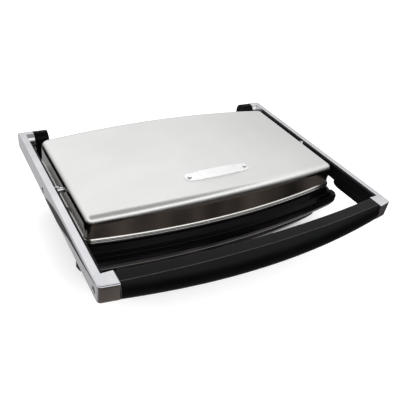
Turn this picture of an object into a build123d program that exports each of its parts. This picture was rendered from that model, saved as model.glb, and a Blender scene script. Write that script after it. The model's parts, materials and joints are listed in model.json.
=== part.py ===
"""Panini press: a contact grill whose floating lid hangs between two handle arms.

Millimetres, +Z up, front towards -Y. The origin is on the worktop, under the middle of the press.
Four groups move: the base, the drip tray that slides out of it, the handle that hinges at the
rear of the base, and the lid that floats on two pins between the handle arms.
"""
import os

from build123d import *

# ---- driving dimensions -------------------------------------------------------------------------
# Lid outline seen from above: straight sides and rear, front edge bowed forward.
LID_HALF_W = 165.0
LID_REAR_Y = 115.9
LID_CORNER_Y = -50.9
LID_BOW = 15.1
CORNER_R = 9.0

# Heights above the worktop.
LID_EDGE_Z = 100.0
LID_CROWN = 9.0
COVER_BOTTOM_Z = 73.3
BAND_TOP_Z = 72.6
BAND_BOTTOM_Z = 70.6
PARTING_Z = 62.5
STEP_Z = 36.4
BELLY_BOTTOM_Z = 8.0

# How far each level of the housings stands out from the lid outline: (height, outset).
SKIRT_LEVELS = [(BAND_BOTTOM_Z, 0.8), (67.3, 2.3), (PARTING_Z + 0.4, 6.7)]
RIM_LEVELS = [
    (PARTING_Z, 6.6), (60.1, 9.5), (57.2, 10.2), (51.0, 9.6), (46.0, 7.9), (42.8, 6.6), (39.3, 5.0), (STEP_Z, 1.9),
]
LIP_LEVELS = [
    (PARTING_Z, 7.0), (60.1, 11.2), (57.2, 12.5), (49.6, 12.5), (43.3, 10.1), (39.3, 7.7), (STEP_Z, 1.9),
]
BELLY_LEVELS = [(STEP_Z, 0.6), (30.5, -1.6), (20.0, -3.2), (12.0, -7.0), (BELLY_BOTTOM_Z, -12.5)]

RIM_CAVITY = [(60.0, 6.2), (57.2, 7.8), (51.0, 7.2), (46.0, 5.5), (41.5, 3.6)]
BELLY_CAVITY = [(46.8, -2.6), (30.5, -4.2), (20.0, -5.8), (12.0, -9.8), (BELLY_BOTTOM_Z - 1.0, -15.0)]

# The lip along the front of the rim turns the corners and ends there in short ears.
LIP_CORNER_R = 7.0
LIP_END_Y = -54.0

SHEET = 1.0
WALL = 2.4
SHOULDER_R = 8.5
BAND_OUT = 2.2
GAP = 0.3

# Handle hinge at the rear and floating-lid pivots at mid length.
HINGE_Y = 141.3
HINGE_Z = 85.5
HINGE_PIN_R = 4.0
PIVOT_Y = 21.4
PIVOT_Z = 89.5
PIVOT_PIN_R = 3.0
RUNNING = 0.05

# Handle arms.
ARM_IN_X = 175.4
ARM_OUT_X = 183.3
ARM_END_R = 10.5
ARM_TOP_Z = 96.0
ARM_BOTTOM_Z = HINGE_Z - ARM_END_R
ARM_FRONT_Y = -134.0
SOCKET_BACK_Y = -118.7
SOCKET_IN_X = 163.6
# The front of a socket slants with the bow of the grip: this is its y at the inner side.
SOCKET_FRONT_Y = -137.2
LINER_T = 2.4
COLLAR_R = 5.0
# Screws in the outer face of an arm: (y, z).
FRONT_SCREW = (-124.6, 84.3)
REAR_SCREW = (37.0, 82.0)

# Grip: ends butt on the sockets, middle is bowed forward and fuller.
GRIP_HALF_L = SOCKET_IN_X - 0.2
GRIP_FRONT_Y = -151.9
GRIP_END_FRONT_Y = -138.5
GRIP_BACK_Y = -128.4
GRIP_END_BACK_Y = -118.9

# Flat steel core of the grip.
CORE_END_Y = -125.4
CORE_MID_Y = -139.0
CORE_Z = 79.5
CORE_H = 9.6

# Hinge brackets that stand on the rear of the base.
BRACKET_IN_X = 149.0
BRACKET_OUT_X = 165.8
BRACKET_R = 10.4
BRACKET_FACE_Y = 126.5
BRACKET_SCREW_Z = (45.0, 53.0)

# Mains inlet in the rear wall.
CORD_X = 96.0
CORD_Z = 24.0
CORD_BORE_R = 3.8

# Drip tray.
TRAY_HALF_W = 132.0
TRAY_TOP_Z = 32.9
TRAY_BOTTOM_Z = 13.0
TRAY_REAR_Y = 68.5

# Feet.
FOOT_R = 11.0
FOOT_X = 116.0
FOOT_FRONT_Y = -30.0
FOOT_REAR_Y = 91.0
FOOT_H = 6.0

# Grill plates.
PLATE_INSET = 8.0
SHIELD_BOTTOM_Z = 39.2
LOWER_DECK_Z = 58.2
LOWER_RIB_Z = 61.4
UPPER_DECK_Z = 67.8
UPPER_RIB_Z = 63.8
HEATER_FRONT_Y = -30.4
HEATER_REAR_Y = 87.6
UPPER_FRAME_Z = 84.0
RIB_PITCH = 13.0
RIB_W = 5.0

# Badge on the lid.
BADGE_Y = -28.2
BADGE_HALF_L = 42.5
BADGE_W = 17.0


def save(name, shape):
    """Write one node as parts/NAME.step."""
    solids = shape.solids() if hasattr(shape, "solids") else [shape]
    body = solids[0] if len(solids) == 1 else Compound(children=list(solids))
    body.label = name
    export_step(body, "parts/" + name + ".step")


def box(x0, x1, y0, y1, z0, z1):
    """Axis-aligned block between two corners."""
    return Pos((x0 + x1) / 2, (y0 + y1) / 2, (z0 + z1) / 2) * Box(x1 - x0, y1 - y0, z1 - z0)


def rod_x(r, x0, x1, y, z):
    """Cylinder along X."""
    return Pos((x0 + x1) / 2, y, z) * Rot(0, 90, 0) * Cylinder(r, x1 - x0)


def rod_y(r, x, y0, y1, z):
    """Cylinder along Y."""
    return Pos(x, (y0 + y1) / 2, z) * Rot(90, 0, 0) * Cylinder(r, y1 - y0)


def rod_z(r, x, y, z0, z1):
    """Cylinder along Z."""
    return Pos(x, y, (z0 + z1) / 2) * Cylinder(r, z1 - z0)


def mirror_x(shape):
    """The same shape on the other side of the press."""
    return mirror(shape, about=Plane.YZ)


def pair(shape):
    """A right-hand piece and its left-hand twin."""
    return Compound(children=list(shape.solids()) + list(mirror_x(shape).solids()))


def outline(out, z, corner_r=None):
    """Plan outline of the lid grown by out, as a face at height z."""
    half = LID_HALF_W + out
    rear = LID_REAR_Y + out
    corner = LID_CORNER_Y - out
    with BuildSketch(Plane.XY.offset(z)) as sk:
        with BuildLine():
            Polyline((-half, corner), (-half, rear), (half, rear), (half, corner))
            ThreePointArc((half, corner), (0, corner - LID_BOW), (-half, corner))
        make_face()
        fillet(sk.vertices(), corner_r or max(CORNER_R + out, 2.5))
    return sk.sketch.faces()[0]


def lofted(levels, thin=0.0, corner_r=None):
    """Solid through the outlines at each (height, outset), shrunk by thin."""
    return loft([outline(out - thin, z, corner_r) for z, out in levels], ruled=True)


def prism(out, z0, z1):
    """Straight-sided block on the lid outline."""
    return extrude(outline(out, z0), z1 - z0)


def ring(out, width, z0, z1):
    """Straight-sided band that follows the lid outline."""
    return prism(out, z0, z1) - prism(out - width, z0 - 1, z1 + 1)


def crown_cutter(drop):
    """Everything above the arched lid top, lowered by drop."""
    radius = (LID_HALF_W ** 2 + LID_CROWN ** 2) / (2 * LID_CROWN)
    barrel = rod_y(radius - drop, 0, -200, 250, LID_EDGE_Z + LID_CROWN - radius)
    return box(-220, 220, -180, 230, 60, 160) - barrel


def crown_z(x):
    """Height of the lid top at x."""
    radius = (LID_HALF_W ** 2 + LID_CROWN ** 2) / (2 * LID_CROWN)
    return LID_EDGE_Z + LID_CROWN - radius + (radius ** 2 - x ** 2) ** 0.5


def domed(out, z0, drop, shoulder):
    """Lid-shaped block: straight walls, rounded shoulder, arched top."""
    block = prism(out, z0, 125) - crown_cutter(drop)
    top = block.faces().sort_by(Axis.Z)[-1]
    return fillet(top.edges(), shoulder)


# ---- lid ----------------------------------------------------------------------------------------
def lid_cover():
    """Drawn stainless cover with a rolled lower edge and four welded studs inside."""
    shell = domed(0, COVER_BOTTOM_Z, 0, SHOULDER_R)
    shell -= domed(-SHEET, COVER_BOTTOM_Z - 1, SHEET, SHOULDER_R - SHEET)
    shell += ring(0.9, 1.4, COVER_BOTTOM_Z, COVER_BOTTOM_Z + 1.6)
    shell -= rod_x(PIVOT_PIN_R + 1.0, -200, 200, PIVOT_Y, PIVOT_Z)
    for x in (-1, 1):
        shell -= rod_z(1.6, x * badge_rivet_x(), badge_y(badge_rivet_x()), 90, 120)
    for x, y in stud_points():
        shell += rod_z(2.5, x, y, UPPER_FRAME_Z, crown_z(x) - 0.95)
        shell += rod_z(1.5, x, y, UPPER_FRAME_Z - 4.6, UPPER_FRAME_Z)
    return shell


def lid_trim_band():
    """Bright out-turned band under the cover."""
    return ring(BAND_OUT, 3.4, BAND_BOTTOM_Z, BAND_TOP_Z)


def upper_housing():
    """Black frame: sloping skirt, deck for the grill plate and a wall inside the cover."""
    frame = lofted(SKIRT_LEVELS) - prism(-PLATE_INSET + 0.6, 50, 80)
    frame += ring(-SHEET - 0.4, WALL, BAND_BOTTOM_Z, UPPER_FRAME_Z)
    frame += ring(-SHEET - 0.4, 30.0, UPPER_FRAME_Z - 2.0, UPPER_FRAME_Z)
    frame -= rod_x(PIVOT_PIN_R + 1.0, -200, 200, PIVOT_Y, PIVOT_Z)
    for x, y in stud_points() + plate_screw_points():
        frame -= rod_z(1.7, x, y, 75, 90)
    return frame


def ribs(z0, z1, half_w, y0, y1):
    """Parallel grill ribs that run from front to back."""
    bars = []
    count = int(2 * half_w / RIB_PITCH) - 1
    for i in range(count):
        x = (i - (count - 1) / 2) * RIB_PITCH
        bars.append(box(x - RIB_W / 2, x + RIB_W / 2, y0, y1, z0, z1))
    return bars


def upper_grill_plate():
    """Cast plate with ribs below and four fixing bosses above."""
    plate = prism(-PLATE_INSET, UPPER_DECK_Z, 76.4) - prism(-PLATE_INSET - 4, UPPER_DECK_Z + 3.2, 80)
    bars = ribs(UPPER_RIB_Z, UPPER_DECK_Z + 1, 150, LID_CORNER_Y + 10, LID_REAR_Y - 16)
    plate = plate.fuse(*bars)
    for x, y in plate_screw_points():
        plate += rod_z(4.5, x, y, UPPER_DECK_Z + 2, UPPER_FRAME_Z - 2.2) - rod_z(1.5, x, y, 70, 90)
    return plate


def stud_points():
    """Places of the four studs that hold the cover to the upper housing."""
    return [(x, y) for x in (-156.5, 156.5) for y in (-33.2, 92.2)]


def plate_screw_points():
    """Places of the four screws that hold a grill plate."""
    return [(x, y) for x in (-144.0, 144.0) for y in (-26.0, 83.0)]


def cover_nuts():
    """Hexagon nuts on the cover studs, under the frame."""
    nuts = []
    for x, y in stud_points():
        blank = Pos(x, y, UPPER_FRAME_Z - 4.4) * extrude(RegularPolygon(3.4, 6), 2.3)
        nuts.append(blank - rod_z(1.5, x, y, 70, 90))
    return Compound(children=[s for n in nuts for s in n.solids()])


def upper_plate_screws():
    """Screws down through the frame into the upper plate's bosses."""
    screws = [screw(x, y, UPPER_FRAME_Z, 10.0, -1) for x, y in plate_screw_points()]
    return Compound(children=[s for n in screws for s in n.solids()])


def base_screws():
    """Long screws up through cover and shield into the lower plate's bosses."""
    screws = [screw(x, y, FOOT_H + 0.8, 44.8, 1) for x, y in plate_screw_points()]
    return Compound(children=[s for n in screws for s in n.solids()])


def heating_element(z):
    """U-shaped tubular heater, legs to the rear."""
    with BuildLine() as path:
        FilletPolyline(
            (-40, HEATER_REAR_Y, z), (-108, HEATER_REAR_Y, z), (-108, HEATER_FRONT_Y, z),
            (108, HEATER_FRONT_Y, z), (108, HEATER_REAR_Y, z), (40, HEATER_REAR_Y, z),
            radius=24,
        )
    start = Plane(origin=(-40, HEATER_REAR_Y, z), z_dir=(-1, 0, 0))
    tube = sweep(start * Circle(3.3), path.wires()[0])
    for x in (-1, 1):
        tube += rod_x(2.0, min(x * 24, x * 42), max(x * 24, x * 42), HEATER_REAR_Y, z)
    return tube


def upper_heat_shield():
    """Sheet tray above the upper heater, open side down."""
    tray = prism(-PLATE_INSET - 6, 76.6, 81.8) - prism(-PLATE_INSET - 6.8, 73, 81.0)
    for x, y in plate_screw_points():
        tray -= rod_z(6.0, x, y, 70, 90)
    return tray


def thermal_fuse():
    """Axial fuse in a saddle on the upper plate."""
    fuse = rod_x(2.4, -9, 9, 57.6, 76.0) + rod_x(0.8, -22, 22, 57.6, 76.0)
    return fuse + box(-6, 6, 52.6, 62.6, UPPER_DECK_Z + 3.2, 74.3)


def pivot_bracket():
    """Bearing block inside the lid that carries one pivot pin."""
    block = box(148.5, 160.9, PIVOT_Y - 9, PIVOT_Y + 9, UPPER_FRAME_Z, PIVOT_Z + 5.2)
    block += box(148.5, 160.9, PIVOT_Y - 16, PIVOT_Y + 16, UPPER_FRAME_Z, UPPER_FRAME_Z + 2.6)
    block -= rod_x(PIVOT_PIN_R + RUNNING, 140, 170, PIVOT_Y, PIVOT_Z)
    return fillet(block.edges().filter_by(Axis.X).group_by(Axis.Z)[-1], 3.0)


def badge_y(x):
    """Centre line of the badge, bowed like the lid front."""
    return BADGE_Y + 1.3 * (x / BADGE_HALF_L) ** 2


def badge_rivet_x():
    """Distance of each badge rivet from the middle."""
    return BADGE_HALF_L - 5.0


def badge_plate():
    """Blank polished badge with a raised middle field, laid on the arched lid."""
    half = BADGE_HALF_L
    side = BADGE_W / 2
    bow = 1.3
    with BuildSketch(Plane.XY.offset(90)) as sk:
        with BuildLine():
            ThreePointArc((-half, BADGE_Y + bow - side + 2), (0, BADGE_Y - side), (half, BADGE_Y + bow - side + 2))
            Line((half, BADGE_Y + bow - side + 2), (half, BADGE_Y + bow + side - 2))
            ThreePointArc((half, BADGE_Y + bow + side - 2), (0, BADGE_Y + side), (-half, BADGE_Y + bow + side - 2))
            Line((-half, BADGE_Y + bow + side - 2), (-half, BADGE_Y + bow - side + 2))
        make_face()
        fillet(sk.vertices(), 5.5)
    slug = extrude(sk.sketch, 40)
    plate = slug - crown_cutter(-0.9)
    field = slug & (box(-24, 24, -60, 0, 80, 130) - crown_cutter(-1.5))
    plate = (plate + field) & crown_cutter(-0.05)
    for x in (-1, 1):
        plate -= rod_z(1.6, x * badge_rivet_x(), badge_y(badge_rivet_x()), 90, 120)
    return plate


def badge_rivet():
    """Round-headed rivet through badge and cover."""
    x = badge_rivet_x()
    z = crown_z(x)
    head = Pos(x, badge_y(x), z + 0.9) * Sphere(2.8) & box(x - 5, x + 5, -60, 0, z + 1.0, z + 5)
    head = Pos(0, 0, 0.15) * (head & box(x - 5, x + 5, -60, 0, z + 1.0, z + 2.2))
    return head + rod_z(1.5, x, badge_y(x), z - 3.0, z + 1.6)


def screw(x, y, z_head, length, up, head_r=3.4, shank_r=1.5):
    """Pan-head screw along Z; up is the direction its tip points."""
    tip = z_head + up * length
    shank = rod_z(shank_r, x, y, min(z_head, tip), max(z_head, tip))
    back = z_head - up * 2.0
    head = rod_z(head_r, x, y, min(z_head, back), max(z_head, back))
    head -= box(x - 2.4, x + 2.4, y - 0.5, y + 0.5, min(back, back + up * 1.0), max(back, back + up * 1.0))
    return shank + head


# ---- handle -------------------------------------------------------------------------------------
def arm_profile():
    """Side view of an arm: straight bar with a round rear end."""
    with BuildSketch(Plane.YZ) as sk:
        with BuildLine():
            ThreePointArc(
                (HINGE_Y, ARM_TOP_Z), (HINGE_Y + ARM_END_R, HINGE_Z), (HINGE_Y, HINGE_Z - ARM_END_R)
            )
            Polyline(
                (HINGE_Y, ARM_BOTTOM_Z), (SOCKET_FRONT_Y - 1, ARM_BOTTOM_Z),
                (SOCKET_FRONT_Y - 1, ARM_TOP_Z), (HINGE_Y, ARM_TOP_Z),
            )
        make_face()
    return sk.sketch


def arm_inlay_profile(shrink):
    """Side view of the dark tapered flute on the outside of an arm."""
    s = shrink
    with BuildSketch(Plane.YZ) as sk:
        with BuildLine():
            Spline((27.5 - s, 78.5 - s), (-3, 88.0 - s), (-52, 92.4 - s), (-127.7 + s, 94.8 - s))
            Polyline(
                (-127.7 + s, 94.8 - s), (-127.7 + s, 93.4 + s / 2), (-115, 90.9 + s), (-95, 88.3 + s),
                (-55, 84.2 + s), (-15.5 - s, 75.4 + s), (-15.5 - s, 60), (27.5 - s, 60), (27.5 - s, 78.5 - s),
            )
        make_face()
    return sk.sketch


def on_outer_rim(p):
    """True for the middle of an edge on the outer or front border of the arm's top."""
    return p.X > ARM_OUT_X - 2.5 or p.Y < ARM_FRONT_Y + 2.5


def socket_front_cutter():
    """Everything in front of the slanted front faces of the right-hand socket."""
    slope = (ARM_FRONT_Y - SOCKET_FRONT_Y) / (ARM_OUT_X - SOCKET_IN_X)
    x0, x1 = SOCKET_IN_X - 5, ARM_OUT_X + 5
    with BuildSketch(Plane.XY.offset(60)) as sk:
        Polygon(
            (x0, SOCKET_FRONT_Y - 5 * slope), (x1, ARM_FRONT_Y + 5 * slope), (x1, -170), (x0, -170), align=None
        )
    return extrude(sk.sketch, 50)


def rear_corner_cutter(r):
    """Rounds the rear outer corner of the right-hand arm, seen from above."""
    rear = HINGE_Y + ARM_END_R
    block = box(ARM_OUT_X - r, ARM_OUT_X + 1, rear - r, rear + 1, 60, 110)
    return block - rod_z(r, ARM_OUT_X - r, rear - r, 50, 120)


def arm():
    """Right-hand die-cast arm with rear hinge boss and front socket."""
    bar = Pos(ARM_IN_X, 0, 0) * extrude(arm_profile(), ARM_OUT_X - ARM_IN_X)
    bar += box(SOCKET_IN_X, ARM_OUT_X, SOCKET_FRONT_Y - 1, SOCKET_BACK_Y, ARM_BOTTOM_Z, ARM_TOP_Z)
    bar -= socket_front_cutter()
    outer = bar.edges().filter_by(Axis.Z).sort_by(Axis.X)[-1]
    bar = fillet(outer, 4.5)
    rim = [e for e in bar.faces().sort_by(Axis.Z)[-1].edges() if on_outer_rim(e.center())]
    bar = fillet(rim, 1.8)
    bar += rod_x(ARM_END_R, BRACKET_OUT_X + GAP + 0.2, ARM_IN_X + 1, HINGE_Y, HINGE_Z)
    bar -= rear_corner_cutter(5.0)
    bar -= Pos(ARM_OUT_X - 1.3, 0, 0) * extrude(arm_inlay_profile(0), 5)
    bar -= rod_x(HINGE_PIN_R + 2.0, 160, ARM_OUT_X - 2.4, HINGE_Y, HINGE_Z)
    bar -= rod_x(PIVOT_PIN_R, 170, ARM_OUT_X - 2.4, PIVOT_Y, PIVOT_Z)
    bar -= rod_x(1.6, 150, 200, *FRONT_SCREW) + rod_x(3.8, ARM_OUT_X - 2.6, 200, *FRONT_SCREW)
    bar -= rod_x(1.6, 150, 200, *REAR_SCREW) + rod_x(3.8, ARM_OUT_X - 2.6, 200, *REAR_SCREW)
    bar -= box(150, SOCKET_IN_X + 14.4, CORE_END_Y - 7.0, CORE_END_Y + 4.5, CORE_Z - 0.4, CORE_Z + CORE_H + 0.4)
    return bar


def arm_inlay():
    """Dark strip in the flute of an arm."""
    strip = Pos(ARM_OUT_X - 1.3, 0, 0) * extrude(arm_inlay_profile(0.15), 0.9)
    bar = Pos(ARM_IN_X, 0, 0) * extrude(arm_profile(), ARM_OUT_X - ARM_IN_X)
    return strip & bar


def arm_liner():
    """Black cover on the inner face of an arm, with a deeper front half."""
    with BuildSketch(Plane.YZ) as sk:
        with BuildLine():
            Polyline(
                (117.7, 94.4), (-117.9, 95.0), (-117.9, 79.5), (-50.5, 77.5), (51.5, 76.5), (117.7, 77.5),
                (117.7, 94.4)
            )
        make_face()
    x0 = ARM_IN_X - LINER_T
    plate = Pos(x0, 0, 0) * extrude(sk.sketch, LINER_T)
    with BuildSketch(Plane.YZ) as lip:
        with BuildLine():
            Polyline(
                (-52, 78.0), (-117.9, 79.9), (-117.9, 69.9), (-60, 69.5), (-54, 71.0), (-52, 74.0), (-52, 78.0)
            )
        make_face()
    plate += Pos(x0 + 0.8, 0, 0) * extrude(lip.sketch, LINER_T - 0.8)
    for y0, y1 in ((88, 108), (60, 80)):
        plate -= box(x0 - 1, x0 + 0.8, y0, y1, 81, 91)
    plate -= rod_x(COLLAR_R + 0.2, 160, 180, PIVOT_Y, PIVOT_Z)
    plate -= rod_x(1.5, 160, 180, *REAR_SCREW)
    return plate


def pivot_collar():
    """Round shoulder between arm and lid round the pivot pin."""
    collar = rod_x(COLLAR_R, 170.2, ARM_IN_X, PIVOT_Y, PIVOT_Z)
    return collar - rod_x(PIVOT_PIN_R, 160, 180, PIVOT_Y, PIVOT_Z)


def pivot_pin():
    """Pin fixed in the arm; the lid turns on its inner end."""
    pin = rod_x(PIVOT_PIN_R, 148.8, ARM_OUT_X - 2.4, PIVOT_Y, PIVOT_Z)
    return pin


def side_screw(x_head, y, z, length):
    """Button-head screw along X, driven from outside."""
    shank = rod_x(1.5, x_head - length, x_head, y, z)
    head = rod_x(3.3, x_head, x_head + 1.9, y, z)
    slot = box(x_head + 1.0, x_head + 3, y - 0.5, y + 0.5, z - 2.3, z + 2.3)
    return shank + head - slot


def grip_section(x):
    """Cross-section of the grip at x: flat top, bulging front, rounded underside."""
    t = 1 - (x / GRIP_HALF_L) ** 2
    back = GRIP_END_BACK_Y + (GRIP_BACK_Y - GRIP_END_BACK_Y) * t
    front = GRIP_END_FRONT_Y + (GRIP_FRONT_Y - GRIP_END_FRONT_Y) * t
    crease = -133.2 - 9.2 * t
    top = ARM_TOP_Z - 0.2
    bottom = ARM_BOTTOM_Z - 0.6 - 4.4 * t
    mid = (top + bottom) / 2 - 1.5
    with BuildSketch(Plane(origin=(x, 0, 0), x_dir=(0, 1, 0), z_dir=(1, 0, 0))) as sk:
        with BuildLine():
            Line((back, top - 2.5), (back + 0.0, bottom + 5))
            Spline((back, bottom + 5), (back - 5, bottom), tangents=((0, -1), (-1, 0)))
            Line((back - 5, bottom), (front + 6.5, bottom))
            Spline((front + 6.5, bottom), (front, mid), tangents=((-1, 0), (0, 1)))
            Spline((front, mid), (crease, top), tangents=((0, 1), (0.75, 0.65)))
            Line((crease, top), (back - 2.5, top))
            Spline((back - 2.5, top), (back, top - 2.5), tangents=((1, 0), (0, -1)))
        make_face()
    return sk.sketch.faces()[0]


def grip_stations():
    """Positions along the grip where its section is drawn."""
    count = 5
    return [GRIP_HALF_L * (2 * i / (count - 1) - 1) for i in range(count)]


def handle_grip():
    """Black moulded grip with a pocket for the steel core."""
    body = loft([grip_section(x) for x in grip_stations()])
    return body - core_shape(0.15)


def core_shape(grow):
    """Bowed flat bar between the two sockets."""
    half = SOCKET_IN_X + 14
    mid = CORE_MID_Y
    end = CORE_END_Y
    g = grow
    with BuildSketch(Plane.XY.offset(CORE_Z - g)) as sk:
        with BuildLine():
            ThreePointArc((-half, end + 4 + g), (0, mid + 4 + g), (half, end + 4 + g))
            Line((half, end + 4 + g), (half, end - 4 - g))
            ThreePointArc((half, end - 4 - g), (0, mid - 4 - g), (-half, end - 4 - g))
            Line((-half, end - 4 - g), (-half, end + 4 + g))
        make_face()
    return extrude(sk.sketch, CORE_H + 2 * g)


def grip_core():
    """Steel bar inside the grip, tapped at both ends."""
    bar = core_shape(0)
    for x in (-1, 1):
        far = x * (SOCKET_IN_X + 20)
        near = x * (SOCKET_IN_X - 2)
        bar -= rod_x(1.5, min(near, far), max(near, far), *FRONT_SCREW)
    return bar


def hinge_bush():
    """Plain bearing pressed into the rear boss of an arm."""
    x0 = BRACKET_OUT_X + GAP + 0.2
    x1 = ARM_OUT_X - 2.4
    return rod_x(HINGE_PIN_R + 2.0, x0, x1, HINGE_Y, HINGE_Z) - rod_x(
        HINGE_PIN_R + RUNNING, x0 - 1, x1 + 1, HINGE_Y, HINGE_Z
    )


# ---- base ---------------------------------------------------------------------------------------
def lower_housing():
    """Black moulding: bulged rim round the grill plate, narrower belly with the tray mouth."""
    shell = lofted(RIM_LEVELS) + lofted(BELLY_LEVELS) + front_lip()
    shell -= lofted(RIM_CAVITY)
    shell -= lofted(BELLY_CAVITY)
    shell -= prism(-PLATE_INSET + 0.6, 52, 70)
    ledge = ring(-PLATE_INSET + 3.0, 2.4, 46.8, 60.5) + ring(-PLATE_INSET + 3.0, 6.0, 46.8, 49.6)
    shell += ledge - box(-14, 14, -100, -42, 30, 49.7)
    shell += box(-168, 168, LID_REAR_Y + 2, LID_REAR_Y + 12, 39.5, 57) & lofted(RIM_LEVELS)
    shell -= tray_mouth()
    shell -= rod_y(6.1, CORD_X, 98, 150, CORD_Z)
    for x in (-1, 1):
        for z in BRACKET_SCREW_Z:
            shell -= rod_y(1.7, x * 157.4, 112, 150, z)
    return shell


def front_lip():
    """Fuller lip along the front of the rim; it turns both corners and ends in short ears."""
    lip = lofted(LIP_LEVELS, corner_r=LIP_CORNER_R) & box(-200, 200, -120, LIP_END_Y, 30, 70)
    r = 3.5
    side = LID_HALF_W + max(out for z, out in LIP_LEVELS)
    corner = box(side - r, side + 1, LIP_END_Y - r, LIP_END_Y + 1, 30, 70)
    corner -= rod_z(r, side - r, LIP_END_Y - r, 20, 80)
    return lip - corner - mirror_x(corner)


def tray_mouth():
    """Opening in the front of the belly for the drip tray."""
    w = TRAY_HALF_W + 1.6
    return box(-w, w, -110, -38, TRAY_BOTTOM_Z - 0.8, TRAY_TOP_Z + 0.8)


def base_bottom_cover():
    """Flat cover that closes the belly, with vents, posts for the long screws and foot holes."""
    cover = prism(BELLY_LEVELS[-1][1] - 0.4, FOOT_H - 1.0, BELLY_BOTTOM_Z - 0.2)
    cover += prism(BELLY_CAVITY[-1][1] - 0.4, BELLY_BOTTOM_Z - 1.5, BELLY_BOTTOM_Z + 1.6)
    for x, y in plate_screw_points():
        cover += rod_z(5.0, x, y, BELLY_BOTTOM_Z, SHIELD_BOTTOM_Z)
        cover -= rod_z(1.8, x, y, 0, 50)
        cover -= rod_z(3.8, x, y, 0, FOOT_H + 0.8)
    for i in range(9):
        y = 8 + i * 8
        cover -= box(-34, 34, y, y + 3, 0, 20)
    for x, y in foot_points():
        cover -= rod_z(4.0, x, y, 0, 20)
    return cover


def foot_points():
    """Places of the four feet."""
    return [(x, y) for x in (-FOOT_X, FOOT_X) for y in (FOOT_FRONT_Y, FOOT_REAR_Y)]


def foot(x, y):
    """Rubber foot with a spigot through the cover."""
    pad = rod_z(FOOT_R, x, y, 0, FOOT_H - 1.0)
    pad = chamfer(pad.edges().group_by(Axis.Z)[0], 1.2)
    return pad + rod_z(3.9, x, y, FOOT_H - 2, BELLY_BOTTOM_Z + 3.0)


def lower_grill_plate():
    """Cast ribbed plate with a drain spout at the front."""
    plate = prism(-PLATE_INSET, 49.8, LOWER_DECK_Z + 1.6)
    plate -= prism(-PLATE_INSET - 4, LOWER_DECK_Z, 70)
    plate -= prism(-PLATE_INSET - 4, 40, LOWER_DECK_Z - 3.4)
    bars = ribs(LOWER_DECK_Z - 1, LOWER_RIB_Z, 150, LID_CORNER_Y + 10, LID_REAR_Y - 16)
    plate = plate.fuse(*bars)
    plate += box(-12, 12, -57.6, -45.5, 41.3, LOWER_DECK_Z)
    plate -= box(-8, 8, -53.6, -48.4, 30, 70)
    for x, y in plate_screw_points():
        plate += rod_z(4.5, x, y, SHIELD_BOTTOM_Z + 0.8, LOWER_DECK_Z - 2) - rod_z(1.5, x, y, 30, 52.8)
    return plate


def lower_heat_shield():
    """Sheet tray under the lower heater, slotted for the drain."""
    tray = prism(-PLATE_INSET - 6, SHIELD_BOTTOM_Z, 46.4)
    tray -= prism(-PLATE_INSET - 6.8, SHIELD_BOTTOM_Z + 0.8, 50)
    tray -= box(-14, 14, -80, -45, 30, 50)
    for x, y in plate_screw_points():
        tray -= rod_z(1.7, x, y, 30, 50)
    return tray


def thermostat():
    """Adjustable-disc thermostat pressed against the lower plate."""
    body = rod_z(10.0, 0, 37.6, 44.2, 51.8) + rod_z(6.5, 0, 37.6, 51.8, 54.7)
    body += box(-15, 15, 34.6, 40.6, 47.3, 48.8)
    for x in (-1, 1):
        body += box(x * 17 - 3, x * 17 + 3, 36.4, 38.8, 44.2, 48.8)
    return body


def terminal_block():
    """Ceramic mains terminal block near the cord inlet."""
    block = box(62, 86, 74, 94, 18, 30)
    for x in (67, 74, 81):
        block -= rod_y(1.8, x, 70, 100, 22.5)
        block -= rod_z(1.9, x, 84, 24, 40)
    return block + box(70, 78, 76, 92, 9.7, 18.2)


def terminal_screws():
    """Clamp screws of the terminal block."""
    pins = []
    for x in (67, 74, 81):
        pins.append(rod_z(1.7, x, 84, 24.6, 29.4) - box(x - 2, x + 2, 83.7, 84.3, 28.6, 30))
    return Compound(children=[s for p in pins for s in p.solids()])


def cord_gland():
    """Rubber-lined inlet collar in the rear wall."""
    collar = rod_y(6.0, CORD_X, 103.9, 121.9, CORD_Z)
    collar += rod_y(8.6, CORD_X, 116.1, 119.1, CORD_Z)
    collar += rod_y(8.0, CORD_X, 104.5, 106.7, CORD_Z)
    return collar - rod_y(CORD_BORE_R, CORD_X, 95, 140, CORD_Z)


def hinge_bracket():
    """Right-hand black bracket with a round top that carries the hinge pin."""
    with BuildSketch(Plane.YZ) as sk:
        with BuildLine():
            ThreePointArc(
                (HINGE_Y - BRACKET_R, HINGE_Z), (HINGE_Y, HINGE_Z + BRACKET_R), (HINGE_Y + BRACKET_R, HINGE_Z)
            )
            Polyline(
                (HINGE_Y + BRACKET_R, HINGE_Z), (148, 47), (141, 38), (BRACKET_FACE_Y, 38),
                (BRACKET_FACE_Y, 57), (HINGE_Y - BRACKET_R, 63), (HINGE_Y - BRACKET_R, HINGE_Z),
            )
        make_face()
    block = Pos(BRACKET_IN_X, 0, 0) * extrude(sk.sketch, BRACKET_OUT_X - BRACKET_IN_X)
    block -= rod_x(HINGE_PIN_R, BRACKET_IN_X + 2.4, 200, HINGE_Y, HINGE_Z)
    for z in BRACKET_SCREW_Z:
        block -= rod_y(1.4, 157.4, 120, 138.6, z)
    return block


def hinge_pin():
    """Pin fixed in the bracket; the arm turns on its outer end."""
    return rod_x(HINGE_PIN_R, BRACKET_IN_X + 2.4, ARM_OUT_X - 2.8, HINGE_Y, HINGE_Z)


def bracket_screws():
    """Screws that hold the hinge brackets, driven from inside the housing."""
    parts = []
    for z in BRACKET_SCREW_Z:
        parts.append(rod_y(1.3, 157.4, 117.8, 137.6, z) + rod_y(3.0, 157.4, 115.7, 117.8, z))
    one = Compound(children=[s for p in parts for s in p.solids()])
    return pair(one)


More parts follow.
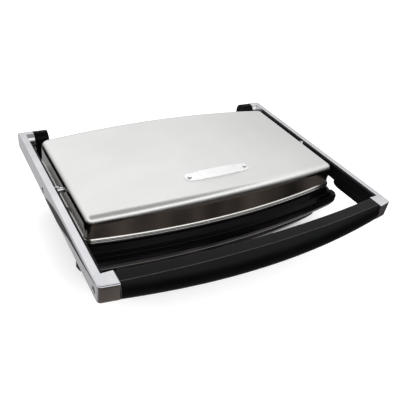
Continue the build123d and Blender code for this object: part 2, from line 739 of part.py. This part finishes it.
# ---- drip tray ----------------------------------------------------------------------------------
def drip_tray_pan():
    """Shallow pan under the drain."""
    pan = box(-TRAY_HALF_W + 4, TRAY_HALF_W - 4, -57.5, TRAY_REAR_Y, TRAY_BOTTOM_Z + 1, TRAY_TOP_Z - 5)
    pan = fillet(pan.edges().filter_by(Axis.Z), 8)
    well = box(-TRAY_HALF_W + 6, TRAY_HALF_W - 6, -55.5, TRAY_REAR_Y - 2, TRAY_BOTTOM_Z + 3, 60)
    well = fillet(well.edges().filter_by(Axis.Z), 6)
    pan -= well
    return pan & lofted(BELLY_LEVELS, WALL)


def drip_tray_front():
    """Glossy front panel that closes the tray mouth flush with the belly."""
    window = box(-TRAY_HALF_W, TRAY_HALF_W, -110, -42, TRAY_BOTTOM_Z, TRAY_TOP_Z)
    return (lofted(BELLY_LEVELS) - lofted(BELLY_LEVELS, WALL)) & window


def tray_rail():
    """Right-hand runner under the tray's edge."""
    rail = box(TRAY_HALF_W - 3.4, TRAY_HALF_W + 4, -36, TRAY_REAR_Y - 4, 9.8, TRAY_BOTTOM_Z + 10)
    return rail - box(TRAY_HALF_W - 8, TRAY_HALF_W + 0.4, -50, 100, TRAY_BOTTOM_Z + 0.6, 40)


def main():
    """Build every node and write it."""
    os.makedirs("parts", exist_ok=True)
    save("lid_cover", lid_cover())
    save("lid_trim_band", lid_trim_band())
    save("upper_housing", upper_housing())
    save("upper_grill_plate", upper_grill_plate())
    save("upper_heating_element", heating_element(74.4))
    save("upper_heat_shield", upper_heat_shield())
    save("thermal_fuse", thermal_fuse())
    save("lid_pivot_brackets", pair(pivot_bracket()))
    save("cover_nuts", cover_nuts())
    save("upper_plate_screws", upper_plate_screws())
    save("badge_plate", badge_plate())
    save("badge_rivets", pair(badge_rivet()))
    right_arm = arm()
    save("arm_right", right_arm)
    save("arm_left", mirror_x(right_arm))
    save("arm_liner_right", arm_liner())
    save("arm_liner_left", mirror_x(arm_liner()))
    save("arm_inlay_right", arm_inlay())
    save("arm_inlay_left", mirror_x(arm_inlay()))
    save("pivot_collars", pair(pivot_collar()))
    save("pivot_pins", pair(pivot_pin()))
    save("grip_screws", pair(side_screw(ARM_OUT_X - 2.5, *FRONT_SCREW, 14)))
    save("liner_screws", pair(side_screw(ARM_OUT_X - 2.5, *REAR_SCREW, 8)))
    save("handle_grip", handle_grip())
    save("grip_core", grip_core())
    save("hinge_bushes", pair(hinge_bush()))
    save("lower_housing", lower_housing())
    save("base_bottom_cover", base_bottom_cover())
    save("base_screws", base_screws())
    save("rubber_feet", Compound(children=[foot(x, y).solids()[0] for x, y in foot_points()]))
    save("lower_grill_plate", lower_grill_plate())
    save("lower_heating_element", heating_element(51.4))
    save("lower_heat_shield", lower_heat_shield())
    save("thermostat", thermostat())
    save("terminal_block", terminal_block())
    save("terminal_screws", terminal_screws())
    save("cord_gland", cord_gland())
    right_bracket = hinge_bracket()
    save("hinge_bracket_right", right_bracket)
    save("hinge_bracket_left", mirror_x(right_bracket))
    save("hinge_pins", pair(hinge_pin()))
    save("bracket_screws", bracket_screws())
    save("drip_tray_pan", drip_tray_pan())
    save("drip_tray_front", drip_tray_front())
    save("tray_rails", pair(tray_rail()))


main()
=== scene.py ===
"""Panini press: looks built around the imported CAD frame. Metres, +Z up, front towards -Y."""
import json
import math

import bpy
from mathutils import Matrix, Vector

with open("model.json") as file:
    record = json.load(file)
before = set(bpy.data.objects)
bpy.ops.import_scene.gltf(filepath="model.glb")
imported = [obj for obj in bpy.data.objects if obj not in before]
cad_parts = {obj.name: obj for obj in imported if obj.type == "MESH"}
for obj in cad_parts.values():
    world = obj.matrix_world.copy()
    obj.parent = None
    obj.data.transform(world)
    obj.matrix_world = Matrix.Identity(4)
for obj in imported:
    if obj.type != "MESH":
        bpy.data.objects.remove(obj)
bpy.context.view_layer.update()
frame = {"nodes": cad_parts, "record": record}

# Heights and half widths on the lid cover where its finish changes, as (from, to) in metres: the top, the
# bead's painted highlight and the side walls' painted shade.
TOP_STARTS_Z = (0.0965, 0.0995)
BEAD_PAINTED_HIGHLIGHT_Z = (0.0754, 0.0749)
SIDE_WALL_PAINTED_SHADE_X = (0.1605, 0.1645)

# Belt below the rim of the lower housing that gets a faint painted reflection: its lower and upper limits.
PAINTED_SHEEN_LOWER_Z = (0.038, 0.044)
PAINTED_SHEEN_UPPER_Z = (0.0565, 0.0535)


# ---- shader node helpers ------------------------------------------------------------------------
class Graph:
    """A node tree and short ways to add to it."""

    def __init__(self, tree):
        self.tree = tree

    def add(self, kind, inputs=None, **settings):
        """A node with the given settings; inputs maps a socket to a value or to another node's output."""
        node = self.tree.nodes.new("ShaderNode" + kind)
        for key, value in settings.items():
            setattr(node, key, value)
        for key, value in (inputs or {}).items():
            self.feed(node, key, value)
        return node

    def feed(self, node, key, value):
        """Set a socket, or link it if the value is an output of another node."""
        socket = node.inputs[key]
        if isinstance(value, bpy.types.NodeSocket):
            self.tree.links.new(value, socket)
        else:
            socket.default_value = value

    def remap(self, value, low, high, to_low=0.0, to_high=1.0, smooth=False):
        """Value carried from one range to another and clamped there."""
        return self.add(
            "MapRange",
            {"Value": value, "From Min": low, "From Max": high, "To Min": to_low, "To Max": to_high},
            interpolation_type="SMOOTHSTEP" if smooth else "LINEAR",
        ).outputs["Result"]

    def math(self, operation, a, b=0.0):
        """One arithmetic step."""
        return self.add("Math", {0: a, 1: b}, operation=operation).outputs["Value"]

    def blend(self, share, a, b, how="MIX"):
        """Two colours mixed by a share that varies over the surface."""
        node = self.add("Mix", data_type="RGBA", blend_type=how)
        self.feed(node, 0, share)
        self.feed(node, 6, a)
        self.feed(node, 7, b)
        return node.outputs[2]


class Paint(Graph):
    """One procedural material: a principled shader and the nodes that feed it."""

    def __init__(self, name, **values):
        self.material = bpy.data.materials.new(name)
        self.material.use_nodes = True
        super().__init__(self.material.node_tree)
        self.shader = self.tree.nodes["Principled BSDF"]
        for key, value in values.items():
            self.shader.inputs[key.replace("_", " ")].default_value = value

    def place(self, stretch=(1, 1, 1), turn=(0, 0, 0)):
        """Object coordinates in metres, scaled and turned."""
        where = self.add("TexCoord").outputs["Object"]
        if tuple(stretch) == (1, 1, 1) and tuple(turn) == (0, 0, 0):
            return where
        return self.add("Mapping", {"Vector": where, "Scale": stretch, "Rotation": turn}).outputs["Vector"]

    def along(self, axis):
        """Object coordinate along one axis, in metres."""
        return self.add("SeparateXYZ", {"Vector": self.place()}).outputs[axis]

    def noise(self, scale, detail=3.0, rough=0.55, stretch=(1, 1, 1), turn=(0, 0, 0), warp=0.0):
        """Noise from 0 to 1; scale is in cells per metre."""
        return self.add(
            "TexNoise",
            {
                "Vector": self.place(stretch, turn), "Scale": scale, "Detail": detail,
                "Roughness": rough, "Distortion": warp,
            },
        ).outputs["Fac"]

    def edge_wear_and_highlight(self, radius, low=0.02, high=0.25):
        """1 on tight convex edges and 0 on flats."""
        rounded = self.add("Bevel", {"Radius": radius}, samples=4).outputs["Normal"]
        plain = self.add("NewGeometry").outputs["Normal"]
        turn = self.add("VectorMath", {0: rounded, 1: plain}, operation="DOT_PRODUCT").outputs["Value"]
        return self.remap(turn, 1.0 - low, 1.0 - high, 0.0, 1.0)

    def relief(self, height, depth, strength=1.0, under=None):
        """Bump from a height field; depth is in metres."""
        inputs = {"Height": height, "Distance": depth, "Strength": strength}
        if under is not None:
            inputs["Normal"] = under
        return self.add("Bump", inputs).outputs["Normal"]

    def soft_edge(self, radius):
        """Normals rounded over the edges of a CAD piece."""
        return self.add("Bevel", {"Radius": radius}, samples=4).outputs["Normal"]

    def use(self, **outputs):
        """Link outputs to the shader's sockets and return the material."""
        for key, value in outputs.items():
            self.feed(self.shader, key.replace("_", " "), value)
        return self.material


def rgb(*c):
    return (*c, 1.0)


# ---- materials ----------------------------------------------------------------------------------
def brushed_cover():
    """Satin-brushed stainless top, walls darkened with painted shade (much darker on the side walls) and a
    bead at the foot with a painted highlight.
    """
    p = Paint("lid_steel", Metallic=1.0)
    grain = p.noise(1.0, 4, 0.6, stretch=(14, 900, 900))
    cloud = p.noise(9, 3, 0.5)
    smear = p.noise(26, 4, 0.6, stretch=(0.35, 1, 1))
    height = p.along("Z")
    top = p.remap(height, *TOP_STARTS_Z, smooth=True)
    rough = p.math("ADD", p.remap(grain, 0.3, 0.7, -0.03, 0.03), p.remap(smear, 0.35, 0.7, -0.02, 0.03))
    rough = p.math("ADD", rough, p.remap(top, 0, 1, 0.17, 0.33))
    tone = p.blend(p.remap(cloud, 0.3, 0.7), rgb(0.70, 0.70, 0.69), rgb(0.76, 0.765, 0.755))
    # The walls' tone, darker than the top, is painted shade; the smear noise varies it at random.
    wall = p.blend(p.remap(smear, 0.3, 0.7), rgb(0.47, 0.455, 0.43), rgb(0.58, 0.57, 0.55))
    # The side walls are darkened much further: painted shade.
    across = p.math("ABSOLUTE", p.along("X"))
    wall = p.blend(p.remap(across, *SIDE_WALL_PAINTED_SHADE_X), wall, rgb(0.12, 0.11, 0.10))
    # A near-white painted highlight along the bead at the foot.
    bead_highlight = p.remap(height, *BEAD_PAINTED_HIGHLIGHT_Z)
    wall = p.blend(bead_highlight, wall, rgb(0.92, 0.92, 0.91))
    return p.use(Base_Color=p.blend(top, wall, tone), Roughness=rough, Normal=p.relief(grain, 0.00002, 0.5))


def gloss_black():
    """Polished black moulding with faint swirls and dust, lighter tight edges and a painted reflection in a
    belt below the rim.
    """
    p = Paint("black_housing", IOR=1.5, Specular_IOR_Level=0.045)
    swirl = p.noise(60, 4, 0.6, warp=1.0)
    wave = p.noise(14, 2, 0.5)
    tone = p.blend(p.remap(wave, 0.3, 0.7), rgb(0.001, 0.001, 0.0013), rgb(0.0024, 0.0022, 0.0025))
    height = p.along("Z")
    # A faint purple-grey painted reflection in patches along a belt below the rim.
    above, below = (p.remap(height, *limit, smooth=True) for limit in (PAINTED_SHEEN_LOWER_Z, PAINTED_SHEEN_UPPER_Z))
    painted_sheen_belt = p.math("MULTIPLY", above, below)
    painted_sheen = p.math("MULTIPLY", painted_sheen_belt, p.remap(p.noise(9, 2, 0.5, stretch=(1, 0.6, 2)), 0.4, 0.58))
    tone = p.blend(painted_sheen, tone, rgb(0.009, 0.0083, 0.0099))
    edge = p.edge_wear_and_highlight(0.0006, 0.006, 0.08)
    tone = p.blend(p.math("MULTIPLY", edge, 0.6), tone, rgb(0.04, 0.04, 0.044))
    return p.use(
        Base_Color=tone, Roughness=p.remap(swirl, 0.3, 0.7, 0.10, 0.2),
        Normal=p.relief(wave, 0.0004, 0.06, p.soft_edge(0.0007)),
    )


def moulded(name, dark, light, rough, grain_size, depth, spec=0.35, wear_and_highlight=0.4, rubbed_and_highlight_tone=0.09, fold=0.25):
    """Moulded, cast or fired piece with a fine even grain; its tight edges take a rubbed tone, which on the
    grip is a painted highlight.
    """
    p = Paint(name, IOR=1.46, Specular_IOR_Level=spec)
    grain = p.noise(grain_size, 3, 0.6)
    cloud = p.noise(18, 3, 0.6)
    tone = p.blend(p.remap(cloud, 0.3, 0.7), rgb(*dark), rgb(*light))
    edge = p.edge_wear_and_highlight(0.0009, 0.005, fold)
    tone = p.blend(p.math("MULTIPLY", edge, wear_and_highlight), tone, rgb(rubbed_and_highlight_tone, rubbed_and_highlight_tone, rubbed_and_highlight_tone * 1.06))
    return p.use(
        Base_Color=tone, Roughness=p.remap(cloud, 0.3, 0.7, rough - 0.05, rough + 0.06),
        Normal=p.relief(grain, depth, 0.5, p.soft_edge(0.0005)),
    )


def satin_metal(name, dark, light, rough, wear_and_highlight=0.4):
    """Metal with fine grain, cloudy tone and brighter edges: rubbed wear, which on the arms is a painted
    highlight.
    """
    p = Paint(name, Metallic=1.0)
    grain = p.noise(900, 3, 0.6)
    cloud = p.noise(22, 3, 0.6)
    tone = p.blend(p.remap(cloud, 0.3, 0.7), rgb(*dark), rgb(*light))
    edge = p.edge_wear_and_highlight(0.0007)
    bright = [min(1.0, c * 1.4) for c in light]
    tone = p.blend(p.math("MULTIPLY", edge, wear_and_highlight), tone, rgb(*bright))
    streaks = p.remap(grain, 0.3, 0.7, -0.02, 0.02)
    blur = p.math("ADD", streaks, p.remap(cloud, 0.3, 0.7, rough - 0.03, rough + 0.03))
    return p.use(Base_Color=tone, Roughness=blur, Normal=p.relief(grain, 0.00003, 0.3, p.soft_edge(0.0006)))


# Dark tone, light tone, roughness, grain in cells per metre, grain depth in metres; then, where the
# default doesn't fit, specular level, weight of the edge tone (rubbed wear; on the grip a painted
# highlight), tone of the edges, fold that counts as one.
MOULDED = {
    "black_liner": ((0.002, 0.002, 0.0024), (0.005, 0.005, 0.0056), 0.42, 2200, 0.00003, 0.12),
    "black_cover": ((0.02, 0.02, 0.02), (0.032, 0.032, 0.033), 0.55, 1800, 0.00005),
    "foot_rubber": ((0.016, 0.016, 0.016), (0.028, 0.028, 0.027), 0.8, 1500, 0.00006),
    "gland_rubber": ((0.014, 0.014, 0.014), (0.024, 0.024, 0.024), 0.75, 1500, 0.00006),
    "tray_pan": ((0.018, 0.018, 0.02), (0.03, 0.03, 0.032), 0.5, 1800, 0.00004),
    # The grip's strong, light edge tone on its crease is a painted highlight.
    "grip_black": (
        (0.0008, 0.001, 0.0014), (0.002, 0.0023, 0.0029),
        0.38, 1600, 0.00006, 0.13, 1.0, 0.1, 0.05,
    ),
    "cast_plate": ((0.016, 0.016, 0.017), (0.03, 0.03, 0.031), 0.5, 1100, 0.00008),
    "tray_gloss": ((0.003, 0.0026, 0.0034), (0.007, 0.006, 0.0078), 0.16, 900, 0.00001, 0.2),
    "terminal_ceramic": ((0.72, 0.7, 0.64), (0.84, 0.82, 0.77), 0.6, 1500, 0.00004),
}

# Dark tone, light tone, roughness; then, where the default doesn't fit, weight of the brighter edges
# (rubbed wear; on the arms a painted highlight).
METAL = {
    # The arms' strong edge weight paints bright highlight lines along their edges.
    "arm_metal": ((0.52, 0.522, 0.55), (0.66, 0.66, 0.675), 0.2, 0.9),
    # The screws' dark tone is painted shade of the pockets they sit in.
    "screw_chrome": ((0.2, 0.2, 0.21), (0.34, 0.34, 0.35), 0.22),
    "screw_steel": ((0.5, 0.5, 0.5), (0.6, 0.6, 0.58), 0.34),
    "pin_steel": ((0.55, 0.55, 0.56), (0.65, 0.65, 0.67), 0.24),
    "pivot_steel": ((0.7, 0.7, 0.71), (0.8, 0.8, 0.81), 0.2),
    "bracket_steel": ((0.5, 0.5, 0.52), (0.62, 0.62, 0.62), 0.38),
    "shield_sheet": ((0.55, 0.55, 0.55), (0.66, 0.66, 0.65), 0.3),
    "sensor_body": ((0.5, 0.5, 0.5), (0.6, 0.6, 0.6), 0.32),
    "heater_sheath": ((0.16, 0.14, 0.12), (0.27, 0.25, 0.25), 0.42),
    "terminal_brass": ((0.6, 0.45, 0.2), (0.74, 0.58, 0.3), 0.3),
    "bush_bronze": ((0.45, 0.3, 0.16), (0.58, 0.4, 0.22), 0.45),
    "band_chrome": ((0.34, 0.34, 0.34), (0.46, 0.46, 0.45), 0.16, 0.1),
    "badge_chrome": ((0.82, 0.82, 0.83), (0.9, 0.9, 0.9), 0.12),
}


def make_materials():
    """Every slot of the record, by name."""
    made = {"lid_steel": brushed_cover(), "black_housing": gloss_black()}
    made.update({name: moulded(name, *values) for name, values in MOULDED.items()})
    made.update({name: satin_metal(name, *values) for name, values in METAL.items()})
    return made


materials = make_materials()
for row in frame["record"]["subparts"]:
    for holder in frame["nodes"][row["node"]].material_slots:
        holder.material = materials[row["material_slot"]]


# ---- room, light and camera ---------------------------------------------------------------------
def glowing(name, tone, strength):
    """Matte pale material that gives off a little light of its own."""
    p = Paint(name, Base_Color=rgb(tone, tone, tone), Roughness=0.9)
    return p.use(Emission_Color=rgb(1, 1, 1), Emission_Strength=strength)


def make_floor():
    """Wide pale floor that polished surfaces don't mirror."""
    mesh = bpy.data.meshes.new("floor")
    s = 8.0
    mesh.from_pydata([(-s, -s, 0), (s, -s, 0), (s, s, 0), (-s, s, 0)], [], [(0, 1, 2, 3)])
    floor = bpy.data.objects.new("floor", mesh)
    bpy.context.collection.objects.link(floor)
    mesh.materials.append(glowing("floor", 0.93, 0.3))
    floor.visible_glossy = False


def make_backdrop():
    """Pale wall far behind the floor; only the camera sees it, so it doesn't light or mirror anything."""
    count, radius, top = 48, 7.9, 6.0
    turns = [2 * math.pi * i / count for i in range(count)]
    rim = [(radius * math.cos(turn), radius * math.sin(turn)) for turn in turns]
    points = [(x, y, -0.01) for x, y in rim] + [(x, y, top) for x, y in rim]
    sides = [(i, (i + 1) % count, count + (i + 1) % count, count + i) for i in range(count)]
    mesh = bpy.data.meshes.new("backdrop")
    mesh.from_pydata(points, [], sides + [tuple(range(count, 2 * count))])
    wall = bpy.data.objects.new("backdrop", mesh)
    bpy.context.collection.objects.link(wall)
    mesh.materials.append(glowing("backdrop", 0.9, 1.0))
    wall.visible_diffuse = wall.visible_glossy = wall.visible_transmission = wall.visible_shadow = False


# Brightness of the surroundings from straight down (0) through the horizon (0.5) to straight up (1).
BEHIND = [
    (0.0, 0.45), (0.2, 0.6), (0.42, 0.68), (0.5, 0.76), (0.62, 0.88), (0.72, 0.97), (0.82, 1.4),
    (0.895, 1.15), (0.925, 0.5), (1.0, 0.36),
]
FRONT = [
    (0.0, 0.2), (0.15, 0.026), (0.45, 0.015), (0.55, 0.07), (0.6, 0.22), (0.66, 0.55), (0.72, 1.0),
    (0.78, 1.5), (0.86, 1.9), (0.895, 0.8), (0.925, 0.42), (1.0, 0.36),
]


def make_world():
    """Studio surroundings: bright behind the press and overhead, dim and brown low in front."""
    world = bpy.data.worlds.new("studio")
    bpy.context.scene.world = world
    world.use_nodes = True
    g = Graph(world.node_tree)
    split = g.add("SeparateXYZ", {"Vector": g.add("TexCoord").outputs["Generated"]})
    x, y, z = (split.outputs[k] for k in "XYZ")
    height = g.remap(z, -1.0, 1.0)
    behind = ramp(g, height, BEHIND)
    front = ramp(g, height, FRONT)
    across = g.add("CombineXYZ", {"X": g.math("MULTIPLY", x, 9.0)}).outputs["Vector"]
    streaks = g.add("TexNoise", {"Vector": across, "Scale": 1.6, "Detail": 1.0}).outputs["Fac"]
    bands = g.remap(streaks, 0.45, 0.6)
    low = g.blend(bands, rgb(0.62, 0.6, 0.55), rgb(5.6, 4.6, 4.1))
    tint = g.blend(g.remap(z, -0.15, 0.15), low, rgb(1, 1, 1))
    front = g.blend(1.0, front, tint, "MULTIPLY")
    side = g.blend(g.remap(y, -0.22, 0.25, smooth=True), front, behind)
    shade = g.remap(x, 0.2, 1.0, 1.0, 0.86)
    back = g.tree.nodes["Background"]
    g.feed(back, "Color", side)
    g.feed(back, "Strength", shade)


def ramp(graph, share, stops):
    """Grey level picked along a list of (position, level) stops."""
    node = graph.add("ValToRGB", {"Fac": share})
    marks = node.color_ramp.elements
    while len(marks) < len(stops):
        marks.new(0.5)
    for mark, (place, level) in zip(marks, stops):
        mark.position = place
        mark.color = rgb(level, level, level)
    return node.outputs["Color"]


def area_light(name, place, aim, size, power):
    """Soft rectangular studio light that polished surfaces don't mirror."""
    data = bpy.data.lights.new(name, "AREA")
    data.shape = "RECTANGLE"
    data.size, data.size_y = size
    data.energy = power
    light = bpy.data.objects.new(name, data)
    bpy.context.collection.objects.link(light)
    light.location = place
    light.rotation_euler = (Vector(aim) - Vector(place)).to_track_quat("-Z", "Y").to_euler()
    light.visible_glossy = False


def make_camera():
    """Camera in front of the press, to its left and above it."""
    data = bpy.data.cameras.new("camera")
    camera = bpy.data.objects.new("camera", data)
    bpy.context.collection.objects.link(camera)
    camera.location = (-0.2847, -0.4040, 0.4032)
    camera.rotation_euler = [math.radians(a) for a in (54.042, -7.6, -29.784)]
    data.lens = 43.304
    data.sensor_width = 36.0
    data.clip_start, data.clip_end = 0.02, 40
    bpy.context.scene.camera = camera


make_floor()
make_backdrop()
make_world()
area_light("key", (-0.5, -0.3, 1.6), (0, 0, 0.05), (4.5, 4.0), 34)
make_camera()
bpy.context.scene.view_settings.view_transform = "Standard"
